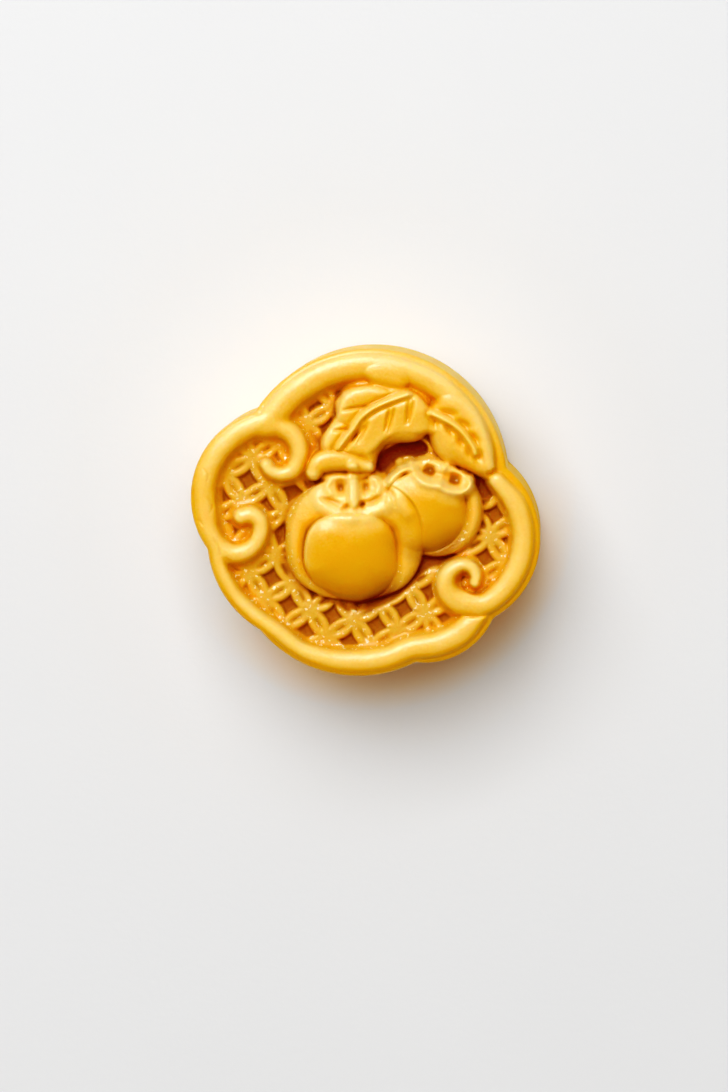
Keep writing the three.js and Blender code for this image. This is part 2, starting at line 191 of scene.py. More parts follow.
REAR_COLLAR = [
    (15.3, 5.0), (13.6, 6.3), (11.7, 7.4), (9.0, 7.8), (6.5, 7.3), (4.4, 6.4), (2.9, 4.6), (3.2, 3.4),
    (4.6, 4.0), (5.8, 5.6), (6.7, 5.6), (7.7, 4.5), (9.3, 3.9), (10.9, 3.7), (12.0, 2.8), (13.7, 2.4),
    (15.0, 3.1), (15.6, 4.2),
]
REAR_SEPALS = [
    {"crest": [(3.0, 4.2), (3.7, 5.2), (4.7, 5.9), (6.2, 6.2)], "half": 0.6, "rise": 0.6},
    {"crest": [(6.6, 7.2), (7.0, 5.9), (8.0, 4.7), (9.3, 4.1), (10.6, 4.1)], "half": 0.55, "rise": 0.6},
    {"crest": [(11.0, 3.7), (12.3, 3.2), (14.1, 3.0), (15.2, 4.2), (15.0, 5.3)], "half": 0.55, "rise": 0.6},
    {"crest": [(10.3, 6.3), (10.9, 6.2), (11.7, 6.9)], "half": 0.4, "rise": 0.5},
]
REAR_HOLLOWS = [
    {"line": [(8.4, 6.6), (10.1, 5.6)], "half": 0.95, "depth": 1.5},
    {"line": [(12.0, 5.0), (13.9, 4.6)], "half": 0.95, "depth": 1.6},
]
REAR_CALYX = {"collar": REAR_COLLAR, "drops": (2.5, 1.5), "sepals": REAR_SEPALS, "hollows": REAR_HOLLOWS}
STALK = {"crest": [(-1.75, 6.6), (-1.75, 4.0), (-1.65, 1.6)], "half": 0.8, "rise": 0.9, "power": 4}

# How far a collar stands off its fruit at the least, and how far below the ground a fruit's body starts
COLLAR_RISE = 0.2
BODY_SINK = 0.5

# Leaves: rounded pads laid on each other, first the rear leaf and then the lobes of the front one. A pad
# without a crease joins the ground softly
LEAF_PADS = (
    {"edge": [(8.9, 15.2), (10.2, 16.3), (11.6, 16.9), (13.2, 16.7), (14.7, 15.5), (16.3, 13.6), (17.5, 11.2),
              (18.1, 8.6), (18.3, 6.4), (17.6, 4.7), (16.4, 5.1), (15.0, 5.9), (13.3, 6.6), (11.6, 7.2),
              (10.2, 8.4), (9.3, 10.3), (8.7, 12.3), (8.7, 14.0)],
     "drop": 1.4, "shoulder": 2.8, "crease": 0},
    {"edge": [(-3.6, 17.2), (-1.6, 18.9), (1.4, 19.6), (5.0, 19.2), (8.4, 17.6), (9.4, 15.6), (5.0, 15.0),
              (-2.0, 15.0)],
     "drop": 2.8, "shoulder": 1.0, "crease": 0},
    {"edge": [(4.5, 18.0), (6.4, 17.9), (8.6, 16.0), (10.6, 14.2), (9.8, 11.4), (4.5, 11.5), (0.6, 8.5),
              (-5.5, 8.8), (-6.0, 11.0), (-4.0, 14.5), (-3.0, 17.0), (0.5, 18.5)],
     "drop": 1.6, "shoulder": 1.2, "crease": 0},
    {"edge": [(4.5, 17.8), (6.4, 17.7), (8.6, 16.0), (9.3, 14.6), (8.9, 11.4), (7.2, 10.2), (4.5, 10.0),
              (3.0, 9.7), (2.0, 8.5), (1.4, 6.7), (-0.7, 7.2), (-3.4, 7.9), (-5.6, 8.8), (-4.6, 11.6),
              (-3.0, 14.2), (-1.2, 16.2), (1.6, 17.6)],
     "drop": 1.2, "shoulder": 2.6, "crease": 0.1},
    {"edge": [(0.1, 20.6), (0.1, 19.3), (1.2, 18.2), (3.2, 17.6), (5.0, 17.5), (6.3, 18.3), (5.6, 20.1),
              (3.9, 21.2), (1.9, 21.4)],
     "drop": 1.5, "shoulder": 2.2, "crease": 0},
    {"edge": [(0.4, 18.3), (-2.1, 18.0), (-4.0, 16.6), (-4.4, 15.3), (-4.0, 13.5), (-2.9, 12.6), (-1.9, 13.2),
              (-0.6, 14.7), (1.0, 15.7), (3.0, 16.6), (3.6, 17.4), (2.2, 18.2)],
     "drop": 1.3, "shoulder": 2.0, "crease": 0.1},
    {"edge": [(-3.4, 13.1), (-5.4, 12.2), (-6.5, 10.2), (-6.3, 8.5), (-4.6, 8.2), (-3.7, 9.6), (-2.8, 11.1),
              (-2.2, 12.4)],
     "drop": 1.5, "shoulder": 1.8, "crease": 0.1},
)

# Raised midribs with a groove on either side, pressed veins, and soft hollows on the rear leaf
MIDRIBS = [
    [(6.2, 17.1), (3.2, 16.0), (1.1, 15.0), (-0.7, 13.6), (-1.7, 12.1), (-3.1, 10.4), (-3.9, 9.2)],
    [(9.6, 14.3), (11.7, 13.3), (13.7, 11.9), (15.2, 10.0), (15.9, 8.6)],
]
VEINS = [
    [(6.3, 15.9), (5.9, 13.0)], [(7.0, 16.0), (6.2, 13.2)],
    [(3.5, 14.7), (2.9, 11.9)], [(4.2, 14.9), (3.4, 11.7)],
    [(0.4, 12.9), (-1.0, 10.2)], [(-0.2, 12.4), (-2.7, 9.4)], [(-1.0, 11.7), (-1.8, 10.4)],
    [(-3.1, 14.8), (0.2, 15.4)], [(-4.4, 11.9), (-2.4, 12.1)],
]
LEAF_HOLLOWS = [
    {"line": [(10.9, 14.7), (12.9, 14.2)], "half": 0.55, "depth": 0.575},
    {"line": [(13.6, 13.2), (15.0, 12.4)], "half": 0.5, "depth": 0.5175},
    {"line": [(15.3, 11.4), (16.4, 10.2)], "half": 0.5, "depth": 0.46},
    {"line": [(16.4, 8.9), (16.7, 7.4)], "half": 0.4, "depth": 0.4025},
    {"line": [(9.9, 13.3), (10.2, 12.4)], "half": 0.45, "depth": 0.575},
    {"line": [(11.7, 12.3), (12.6, 11.2)], "half": 0.45, "depth": 0.575},
    {"line": [(13.3, 10.9), (14.0, 9.7)], "half": 0.45, "depth": 0.575},
    {"line": [(14.6, 9.2), (15.0, 8.0)], "half": 0.4, "depth": 0.46},
    {"line": [(15.6, 7.9), (16.0, 6.9)], "half": 0.4, "depth": 0.4025},
]

# The twig under the big leaf, each point with its half width, and the low dough below it
TWIG = [
    (-7.4, 5.8, 1.0), (-6.7, 6.9, 1.3), (-5.4, 7.5, 1.45), (-3.5, 7.6, 1.4), (-1.7, 7.3, 1.2),
    (-0.4, 6.9, 1.0), (0.6, 6.7, 0.7),
]
TWIG_TOP = FACE_TOP - 1.2
TWIG_FOOT = {
    "edge": [(-7.2, 7.2), (-6.9, 4.9), (-3.0, 4.2), (-0.6, 4.6), (1.0, 6.0), (0.2, 8.0), (-3.0, 8.4)],
    "drop": 2.9, "shoulder": 1.0, "crease": 0,
}

# Deep plain pockets between the pieces, and how much painted shadow each one has
POCKETS = [
    {"edge": [(8.2, 10.2), (5.0, 10.0), (1.9, 8.2), (1.3, 6.9), (2.2, 5.8), (5.0, 8.0), (8.5, 8.4),
              (8.9, 9.3)],
     "painted_shadow": 0.75},
    {"edge": [(15.8, 5.4), (17.6, 4.2), (18.4, 2.6), (17.0, 2.2), (16.4, 3.6)], "painted_shadow": 0.2},
]

# Fine cracks where the dough tore on the left rim
CRACKS = [
    [(-23.2, 6.4), (-22.5, 5.4), (-22.8, 4.4)], [(-22.6, 2.2), (-21.9, 1.0), (-22.3, -0.1)],
    [(-21.8, -3.6), (-21.0, -4.9), (-20.8, -6.0)], [(-23.9, -0.9), (-23.3, -1.8)],
    [(-20.0, -6.4), (-19.3, -7.0)],
]

# Paint, from 0 to 1: how much painted highlight pales crests, fruit bodies, leaves, and the ledge and the
# wall at the lit leafy end, and how much painted shade darkens the lower right side of a fruit's ball
RIDGE_HIGHLIGHT = 0.5
BODY_HIGHLIGHT = 0.28
LEAF_HIGHLIGHT = 0.3
LEDGE_HIGHLIGHT = 0.5
WALL_HIGHLIGHT = 0.75
BALL_SHADE = 0.7

# Cells on each side of the table behind the dough's unevenness
NOISE_CELLS = 256

# Rings of faces round the upper edge, the wall, the lower edge and the base
LIP_RINGS = 8
WALL_RINGS = 8
FOOT_RINGS = 5
BASE_RINGS = 6

# Textures of the dough and the floor, in lumps to the metre
MOTTLE_SCALE = 260.0
GRAIN_SCALE = 2400.0
WET_SCALE = 3600.0
GLINT_SCALE = 1700.0
CLOUD_SCALE = 24.0
TOOTH_SCALE = 900.0

# The stage: how far to the left of the leafy end the lights stand, how far off and how large they are and how
# far the floor reaches, in metres, and where the camera stands and looks, in millimetres
LIGHT_TURN = math.radians(21)
LIGHT_AWAY = 0.9
WINDOW_SIZE = 0.66
CARD_SIZE = 0.5
FLOOR_REACH = 2.0
CAMERA_EYE = (19.3, 35.2, 660.0)
CAMERA_AIM = (-0.1, -4.6, 26.0)

# How the picture shows each tone between black and white: the deep ones darker, as on film
TONES = ((0.05, 0.004), (0.1, 0.035), (0.2, 0.13), (0.4, 0.38), (0.6, 0.61))

# Socket numbers of the mix node when it mixes colours
MIX_SHARE, MIX_LOW, MIX_HIGH, MIX_RESULT = 0, 6, 7, 2


class CakeShape(bpy.types.PropertyGroup):
    """Sizes of the pressed face and of the mesh that carries it."""

    rim_rise: bpy.props.FloatProperty(
        name="Rim rise", description="How far the rim stands above the ledge",
        default=1.5 * MM, min=0.2 * MM, max=3.0 * MM, unit="LENGTH", precision=5)
    coin_pitch: bpy.props.FloatProperty(
        name="Coin pitch", description="Distance from one pit to the next",
        default=4.6 * MM, min=2 * MM, unit="LENGTH", precision=5)
    coin_turn: bpy.props.FloatProperty(
        name="Coin turn", description="How far the coin pattern is turned",
        default=math.radians(32), subtype="ANGLE")
    coin_reach: bpy.props.FloatProperty(
        name="Coin reach", description="Radius of the overlapping circles that the strips follow",
        default=3.1 * MM, min=1 * MM, unit="LENGTH", precision=5)
    strip_width: bpy.props.FloatProperty(
        name="Strip width", description="Width of the pattern's raised strips",
        default=1.0 * MM, min=0.2 * MM, unit="LENGTH", precision=5)
    pit_depth: bpy.props.FloatProperty(
        name="Pit depth", description="Depth of the pattern's pits",
        default=0.85 * MM, min=0.1 * MM, max=1.2 * MM, unit="LENGTH", precision=5)
    slit_depth: bpy.props.FloatProperty(
        name="Slit depth", description="Depth of the slit in each petal of the pattern",
        default=0.4 * MM, min=0, max=1.0 * MM, unit="LENGTH", precision=5)
    groove_depth: bpy.props.FloatProperty(
        name="Groove depth", description="Depth of the fine groove round the rim's outer foot",
        default=0.35 * MM, min=0, unit="LENGTH", precision=5)
    softness: bpy.props.FloatProperty(
        name="Softness", description="How far the dough rounds every pressed edge",
        default=0.1 * MM, min=0, unit="LENGTH", precision=5)
    map_step: bpy.props.FloatProperty(
        name="Map step", description="Spacing of the height map",
        default=0.06 * MM, min=0.02 * MM, unit="LENGTH", precision=5)
    rings: bpy.props.IntProperty(
        name="Rings", description="Rings of faces from the middle of the face to its edge",
        default=200, min=20, max=300)
    most_triangles: bpy.props.IntProperty(
        name="Most triangles", description="Triangles left after thinning the flat parts",
        default=190000, min=10000)


class CakeDough(bpy.types.PropertyGroup):
    """Colours and finish of the dough."""

    # The crest colour is painted highlight: it pales crests, collars, leaves, lit slopes, and the ledge and
    # wall at the lit leafy end
    crest: bpy.props.FloatVectorProperty(
        name="Crest colour", description="Dough on proud edges, where the surface is driest",
        default=(0.93, 0.665, 0.25), size=3, min=0, max=1, subtype="COLOR")
    body: bpy.props.FloatVectorProperty(
        name="Body colour", description="Dough on open surfaces",
        default=(0.82, 0.43, 0.01), size=3, min=0, max=1, subtype="COLOR")
    # The crease colour is painted shade in creases and on slopes turned away from the window
    crease: bpy.props.FloatVectorProperty(
        name="Crease colour", description="Dough in creases and at the foot of what stands proud",
        default=(0.8, 0.345, 0.006), size=3, min=0, max=1, subtype="COLOR")
    # The lattice colour is the strips' own duller tone, and partly painted shade of the sunken floor
    lattice: bpy.props.FloatVectorProperty(
        name="Lattice colour", description="Dough of the pierced floor's strips",
        default=(0.73, 0.43, 0.07), size=3, min=0, max=1, subtype="COLOR")
    # The pit colour is painted shade in the pits, in folds, on the floor behind what stands proud and on the
    # balls' lower right side
    pit: bpy.props.FloatVectorProperty(
        name="Pit colour", description="Moist dough at the bottom of pits and pockets",
        default=(0.42, 0.15, 0.002), size=3, min=0, max=1, subtype="COLOR")
    # The pocket colour is painted shadow in the deepest gaps and in the gap beside the front persimmon
    pocket: bpy.props.FloatVectorProperty(
        name="Pocket colour", description="Dough in the deepest gaps between leaf and fruit",
        default=(0.24, 0.045, 0.001), size=3, min=0, max=1, subtype="COLOR")
    # Painted glints on the floor's strips, fading out on slopes turned away from the window
    glint: bpy.props.FloatVectorProperty(
        name="Fleck colour", description="Fine wet flecks on the floor's strips",
        default=(0.98, 0.86, 0.6), size=3, min=0, max=1, subtype="COLOR")
    glow_depth: bpy.props.FloatProperty(
        name="Glow depth", description="How deep light wanders in the dough",
        default=0.75 * MM, min=0, unit="LENGTH", precision=5)
    glow_share: bpy.props.FloatProperty(
        name="Glow share", description="How much of the dough's light has wandered inside it",
        default=0.85, min=0, max=1, subtype="FACTOR")
    gloss: bpy.props.FloatProperty(
        name="Gloss", description="Strength of the oily sheen",
        default=0.45, min=0, max=1, subtype="FACTOR")


class CakeStage(bpy.types.PropertyGroup):
    """Floor, lights and camera."""

    floor: bpy.props.FloatVectorProperty(
        name="Floor colour", description="Colour of the pale floor",
        default=(0.775, 0.795, 0.825), size=3, min=0, max=1, subtype="COLOR")
    # Painted warm bounce light and shade on the floor in the cake's shadow
    painted_bounce: bpy.props.FloatVectorProperty(
        name="Glow colour", description="Colour of the floor in the cake's shade, warmed by the dough",
        default=(0.9, 0.74, 0.58), size=3, min=0, max=1, subtype="COLOR")
    # Painted light: a brighter, cooler floor close to the cake
    near: bpy.props.FloatVectorProperty(
        name="Near colour", description="Colour of the floor close to the cake on its lit side",
        default=(0.79, 0.82, 0.87), size=3, min=0, max=1, subtype="COLOR")
    window: bpy.props.FloatProperty(
        name="Window light", description="Power of the large soft light beyond the leafy end",
        default=7.5, min=0, unit="POWER")
    window_rise: bpy.props.FloatProperty(
        name="Window rise", description="Angle of the window light above the floor",
        default=math.radians(64), subtype="ANGLE")
    card: bpy.props.FloatProperty(
        name="Card light", description="Power of the lower light that shows only in the gloss",
        default=14.0, min=0, unit="POWER")
    card_rise: bpy.props.FloatProperty(
        name="Card rise", description="Angle of the card light above the floor",
        default=math.radians(46), subtype="ANGLE")
    sky: bpy.props.FloatProperty(
        name="Sky light", description="Strength of the even light from all round",
        default=0.37, min=0)
    sky_colour: bpy.props.FloatVectorProperty(
        name="Sky colour", description="Colour of the even light, warmed by the room",
        default=(1.0, 0.93, 0.83), size=3, min=0, max=1, subtype="COLOR")
    lens: bpy.props.FloatProperty(
        name="Lens", description="Focal length on a frame 36 mm high",
        default=146.4, min=10, unit="CAMERA")


def smooth_max(a, b, blend):
    """The higher of two heights, with the crease between them filled over blend."""
    rise = np.maximum(blend - np.abs(a - b), 0)
    return np.maximum(a, b) + rise * rise / (4 * blend)


def ramp(value, low, high):
    """A smooth step from 0 at low to 1 at high."""
    share = np.clip((value - low) / (high - low), 0, 1)
    return share * share * (3 - 2 * share)


def smooth_line(points, step=0.2, closed=False):
    """Points about step apart along a centripetal curve through the given ones."""
    p = np.array(points, float)
    if closed:
        p = np.vstack([p[-1], p, p[0], p[1]])
    else:
        p = np.vstack([2 * p[0] - p[1], p, 2 * p[-1] - p[-2]])
    line = []
    for a, b, c, d in zip(p, p[1:], p[2:], p[3:]):
        t1 = math.dist(a, b) ** 0.5
        t2 = t1 + math.dist(b, c) ** 0.5
        t3 = t2 + math.dist(c, d) ** 0.5
        count = max(1, round(math.dist(b, c) / step))
        t = np.linspace(t1, t2, count, endpoint=False)[:, None]
        ab = a + (b - a) * t / t1
        bc = b + (c - b) * (t - t1) / (t2 - t1)
        cd = c + (d - c) * (t - t2) / (t3 - t2)
        abc = ab + (bc - ab) * t / t2
        bcd = bc + (cd - bc) * (t - t1) / (t3 - t1)
        line.append(abc + (bcd - abc) * (t - t1) / (t2 - t1))
    line = np.vstack(line)
    return line if closed else np.vstack([line, p[-2]])


def soft_noise(x, y, size, seed):
    """Even noise from -1 to 1 with lumps of the given size, the same each run."""
    table = np.random.default_rng(seed).uniform(-1, 1, (NOISE_CELLS, NOISE_CELLS))
    u, v = x / size, y / size
    i, j = np.floor(u).astype(int), np.floor(v).astype(int)
    fu, fv = u - i, v - j
    fu, fv = fu * fu * (3 - 2 * fu), fv * fv * (3 - 2 * fv)

    def corner(di, dj):
        return table[(i + di) % NOISE_CELLS, (j + dj) % NOISE_CELLS]

    near = corner(0, 0) * (1 - fu) + corner(1, 0) * fu
    far = corner(0, 1) * (1 - fu) + corner(1, 1) * fu
    return near * (1 - fv) + far * fv


def nook_centre(a, b):
    """Centre of the round nook that touches two neighbouring lobes from outside."""
    reach_a, reach_b = a[2] + NOOK_RADIUS, b[2] + NOOK_RADIUS
    apart = math.dist(a[:2], b[:2])
    along = (reach_a ** 2 - reach_b ** 2 + apart ** 2) / (2 * apart)
    aside = math.sqrt(reach_a ** 2 - along ** 2)
    ux, uy = (b[0] - a[0]) / apart, (b[1] - a[1]) / apart
    return a[0] + ux * along + uy * aside, a[1] + uy * along - ux * aside


def arc(centre, radius, start, sweep, step=0.05):
    """Points on an arc about step apart, without its last one."""
    count = max(2, round(abs(sweep) * radius / step))
    turn = start + sweep * np.arange(count) / count
    return np.column_stack([centre[0] + radius * np.cos(turn), centre[1] + radius * np.sin(turn)])


def cloud_outline(inset):
    """The cake's outline from above, moved inwards by inset."""
    pieces = []
    for k, lobe in enumerate(LOBES):
        before, after = LOBES[k - 1], LOBES[(k + 1) % len(LOBES)]
        nook_in, nook_out = nook_centre(before, lobe), nook_centre(lobe, after)
        start = math.atan2(nook_in[1] - lobe[1], nook_in[0] - lobe[0])
        end = math.atan2(nook_out[1] - lobe[1], nook_out[0] - lobe[0])
        pieces.append(arc(lobe[:2], lobe[2] - inset, start, (end - start) % (2 * math.pi)))
        turn_in = math.atan2(lobe[1] - nook_out[1], lobe[0] - nook_out[0])
        turn_out = math.atan2(after[1] - nook_out[1], after[0] - nook_out[0])
        sweep = -((turn_in - turn_out) % (2 * math.pi))
        pieces.append(arc(nook_out, NOOK_RADIUS + inset, turn_in, sweep))
    return np.vstack(pieces)


def reach_at(outline, bearing):
    """How far an outline lies from the middle at each bearing, in radians."""
    angles = np.arctan2(outline[:, 1], outline[:, 0])
    order = np.argsort(angles)
    return np.interp(bearing, angles[order], np.hypot(*outline[order].T), period=2 * math.pi)


class Relief:
    """A height map of the pressed face in millimetres, on an even grid, with maps of its paint."""

    def __init__(self, low, high, step):
        self.step = step
        self.low = low
        self.across = np.arange(low[0], high[0] + step, step)
        self.up = np.arange(low[1], high[1] + step, step)
        self.x, self.y = np.meshgrid(self.across, self.up)
        self.z = np.full(self.x.shape, LEDGE_Z)
        # Paint maps: painted highlight, painted shadow in pockets and gaps, and painted shade on the balls'
        # lower right side
        self.pale = np.zeros(self.x.shape)
        self.pocket = np.zeros(self.x.shape)
        self.ball_shade = np.zeros(self.x.shape)

    def patch(self, points, reach):
        """The part of the grid within reach of the points."""
        low = np.floor((np.min(points, axis=0) - reach - self.low) / self.step).astype(int)
        high = np.ceil((np.max(points, axis=0) + reach - self.low) / self.step).astype(int) + 1
        low = np.maximum(low, 0)
        return slice(low[1], max(high[1], 0)), slice(low[0], max(high[0], 0))

    def near_line(self, line, reach):
        """Distance to a line, out to reach, and the line's third value, if any, at the nearest place."""
        distance = np.full(self.z.shape, float(reach))
        value = np.zeros(self.z.shape)
        flat = line[:, :2]
        third = line[:, 2] if line.shape[1] > 2 else np.zeros(len(line))
        for a, b, start, end in zip(flat, flat[1:], third, third[1:]):
            part = self.patch([a, b], reach)
            x, y = self.x[part] - a[0], self.y[part] - a[1]
            dx, dy = b - a
            along = np.clip((x * dx + y * dy) / (dx * dx + dy * dy), 0, 1)
            away = np.hypot(x - along * dx, y - along * dy)
            closer = away < distance[part]
            distance[part][closer] = away[closer]
            value[part][closer] = (start + along * (end - start))[closer]
        return distance, value

    def inside(self, outline):
        """True where the grid lies inside a closed outline."""
        found = np.zeros(self.z.shape, bool)
        part = self.patch(outline, 0)
        x, y = self.x[part], self.y[part]
        for a, b in zip(outline, np.roll(outline, -1, axis=0)):
            crosses = (a[1] > y) != (b[1] > y)
            if a[1] != b[1]:
                found[part] ^= crosses & (x < a[0] + (y - a[1]) * (b[0] - a[0]) / (b[1] - a[1]))
        return found

    def outside(self, outline, reach):
        """Distance outside a closed outline, out to reach, and below zero inside it."""
        distance, _ = self.near_line(np.vstack([outline, outline[0]]), reach)
        return np.where(self.inside(outline), -distance, distance)

    def lay(self, height, away, crease, reach=0.8, blend=0.12, share=1):
        """Lays a piece on the face: the ground sinks under it and dips beside it, by the way to its edge."""
        ground = self.z - crease * share * np.exp(-((np.maximum(away, 0) / reach) ** 2))
        ground += (ROOT_Z - ground) * ramp(away, 0, -UNDERCUT) * share
        self.z = smooth_max(ground, height, blend)

    def swell(self, crest, half, rise, power=2):
        """Raises a soft ridge that follows the ground, flatter on top where the power is higher."""
        distance, _ = self.near_line(smooth_line(crest), 3 * half)
        self.z += rise * np.exp(-((distance / half) ** power))

    def press(self, line, half, depth, power=2):
        """Presses a groove that fades at its ends, or a steeper hollow where the power is higher."""
        path = smooth_line(line)
        path = np.column_stack([path, np.linspace(0, 1, len(path))])
        distance, share = self.near_line(path, 3 * half)
        fade = np.sqrt(0.25 + 3 * share * (1 - share))
        self.z -= depth * fade * np.exp(-((distance / half) ** power))

    def blurred(self, field, radius):
        """The field averaged over a soft round patch."""
        down = np.fft.fftfreq(field.shape[0], self.step)[:, None]
        across = np.fft.rfftfreq(field.shape[1], self.step)[None, :]
        keep = np.exp(-2 * (math.pi * radius) ** 2 * (down ** 2 + across ** 2))
        return np.fft.irfft2(np.fft.rfft2(field) * keep, field.shape)

    def sample(self, field, x, y):
        """The field's value at places on the face."""
        u = np.clip((x - self.low[0]) / self.step, 0, len(self.across) - 1.001)
        v = np.clip((y - self.low[1]) / self.step, 0, len(self.up) - 1.001)
        i, j = u.astype(int), v.astype(int)
        fu, fv = u - i, v - j
        near = field[j, i] * (1 - fu) + field[j, i + 1] * fu
        far = field[j + 1, i] * (1 - fu) + field[j + 1, i + 1] * fu
        return near * (1 - fv) + far * fv


def beside_ridge(relief, crest):
    """How far each place is from a ridge's crest, 1 at its edge, and its distance outside the edge."""
    line = smooth_line(crest)
    distance, width = relief.near_line(line, line[:, 2].max() + 2)
    width = np.maximum(width, 0.1)
    return distance / width, distance - width


def round_ridge(side, top, crown, fall=3.4):
    """Height of a low round ridge by the way from its crest to its edge, and of the slope at its foot."""
    return top - crown * (1 - np.sqrt(1 - np.clip(side, 0, 1) ** 2)) - fall * np.maximum(side - 1, 0)


def way_out(relief, centre, half, powers=(2, 2), sway=0):
    """How far out each place is from an oval's centre, 1 at its edge, and its distance outside the edge.

    The higher a half's power, the squarer it is. The oval's lowest point sways aside.
    """
    up = (relief.y - centre[1]) / half[1]
    across = (relief.x - centre[0] - sway * ramp(up, 0, -1)) / half[0]
    power = powers[0] + (powers[1] - powers[0]) * ramp(up, -0.3, 0.7)
    out = (np.abs(across) ** power + np.abs(up) ** power) ** (1 / power)
    return out, (out - 1) * min(half)


def lay_body(relief, centre, half, drop, powers):
    """Lays a persimmon's low round body, with a deeper and sharper crease where it lies on the floor."""
    out, away = way_out(relief, centre, half, powers)
    foot = np.maximum(relief.z - BODY_SINK, FOOT_Z)
    height = foot + (FACE_TOP - drop - foot) * np.sqrt(np.maximum(1 - out ** 2.6, 0))
    on_floor = ramp(relief.z, LEDGE_Z + 0.4, FLOOR_Z + 0.2)
    relief.lay(
        np.where(out < 1, height, NOWHERE), away,
        crease=0.1 + 0.4 * on_floor, reach=1.0, blend=0.4 - 0.28 * on_floor)
    # Painted highlight over the fruit's body
    relief.pale = np.maximum(relief.pale, BODY_HIGHLIGHT * ramp(out, 1.0, 0.9))


def lay_ball(relief, centre, half, drop, lean, powers, sway, falls, creases):
    """Lays the ball that is set into a persimmon's body, creased at its sides and soft at its top."""
    out, away = way_out(relief, centre, half, powers, sway)
    across, up = relief.x - centre[0], relief.y - centre[1]
    rightness = ramp(across / half[0], -0.8, 0.8)
    lowness = ramp(-up / half[1] / np.maximum(out, 0.01), 0.2, 1.0)
    fall = falls[0] + (falls[1] - falls[0]) * lowness
    height = FACE_TOP - drop - fall * (0.65 * out ** 2 + 0.35 * out ** 6)
    height += lean[0] * across + lean[1] * up
    aside = ramp(up / half[1], 1.0, 0.6)
    crease = (creases[0] + (creases[1] - creases[0]) * rightness) * aside
    relief.lay(np.where(out < 1, height, NOWHERE), away, crease, reach=0.9, blend=0.6 - 0.54 * aside)
    # No painted highlight on the ball itself
    relief.pale *= ramp(out, 0.95, 1.1)
    # Painted shade on the lower right side of the ball, away from the window
    ball_shade = ramp(out, 0.35, 1.05) * ramp(out, 1.35, 1.08) * lowness * (0.3 + 0.7 * rightness)
    relief.ball_shade = np.maximum(relief.ball_shade, BALL_SHADE * ball_shade)


def lay_calyx(relief, collar, drops, sepals, hollows):
    """Raises a sloping collar on a fruit, swells its sepals and presses the hollows between them."""
    outline = smooth_line(collar, closed=True)
    away = relief.outside(outline, 3.0)
    low, high = outline[:, 1].min(), outline[:, 1].max()
    slope = FACE_TOP - drops[1] + (drops[1] - drops[0]) * ramp(relief.y, low, high)
    relief.z += (smooth_max(relief.z + COLLAR_RISE, slope, 0.4) - relief.z) * ramp(away, 0.9, -0.9)
    # Painted highlight over the collar and round it
    relief.pale = np.maximum(relief.pale, ramp(away, 2.6, -0.6))
    for sepal in sepals:
        relief.swell(**sepal)
    for hollow in hollows:
        relief.press(**hollow, power=3)


def lay_pad(relief, edge, drop, shoulder, crease):
    """Lays a pillow with a rounded shoulder, or joins it softly to the ground where it has no crease."""
    away = relief.outside(smooth_line(edge, closed=True), max(shoulder, 2.5))
    fall = np.clip(1 + away / shoulder, 0, 1)
    foot = np.maximum(relief.z - 0.35, FOOT_Z)
    height = foot + (FACE_TOP - drop - foot) * np.sqrt(1 - fall ** 2.2)
    height = np.where(away < 0, height, NOWHERE)
    # Painted highlight over the pad
    relief.pale = np.maximum(relief.pale, LEAF_HIGHLIGHT * ramp(away, 0, -1.2))
    if crease:
        relief.lay(height, away, crease, reach=0.6, blend=0.35)
    else:
        relief.z = smooth_max(relief.z, height, 0.7)


def coin_field(relief, shape, beside):
    """The pierced floor: strips along overlapping circles with pits and slits, shallow beside the rim."""
    pitch, turn = shape.coin_pitch / MM, shape.coin_turn
    x, y = relief.x - COIN_START[0], relief.y - COIN_START[1]
    u = (x * math.cos(turn) + y * math.sin(turn)) / pitch
    v = (-x * math.sin(turn) + y * math.cos(turn)) / pitch
    pu, pv = (u - np.round(u)) * pitch, (v - np.round(v)) * pitch
    reach = shape.coin_reach / MM
    own = reach - np.hypot(pu, pv)
    inner = np.full(u.shape, -pitch)
    for du, dv in ((1, 0), (-1, 0), (0, 1), (0, -1)):
        inner = np.maximum(inner, reach - np.hypot(pu - du * pitch, pv - dv * pitch))
    half = shape.strip_width / MM / 2
    uneven = soft_noise(relief.x, relief.y, 2.3, 2)
    pit = ramp(-inner, half * 0.6, half + 0.35) * ramp(own, 0.12, 0.7) * (1 + 0.15 * uneven)
    slit = ramp(inner + own, 1.1, 1.6) * np.exp(-(((inner - own) / SLIT_HALF) ** 2)) * (1 + 0.5 * uneven)
    strip = np.minimum(np.abs(inner), np.abs(own)) / half
    crown = STRIP_CROWN * np.clip(strip, 0, 1) ** 2
    out, _ = way_out(relief, **SMEAR)
    left = (RIM_REST + (1 - RIM_REST) * ramp(beside, 0, 1.4)) * (1 - SMEAR_LOSS * np.exp(-(out ** 4)))
    floor = FLOOR_Z + FLOOR_WANDER * uneven + RIM_FILLET * ramp(beside, 1.3, 0)
    return floor - left * (crown + shape.pit_depth / MM * pit + shape.slit_depth / MM * slit)


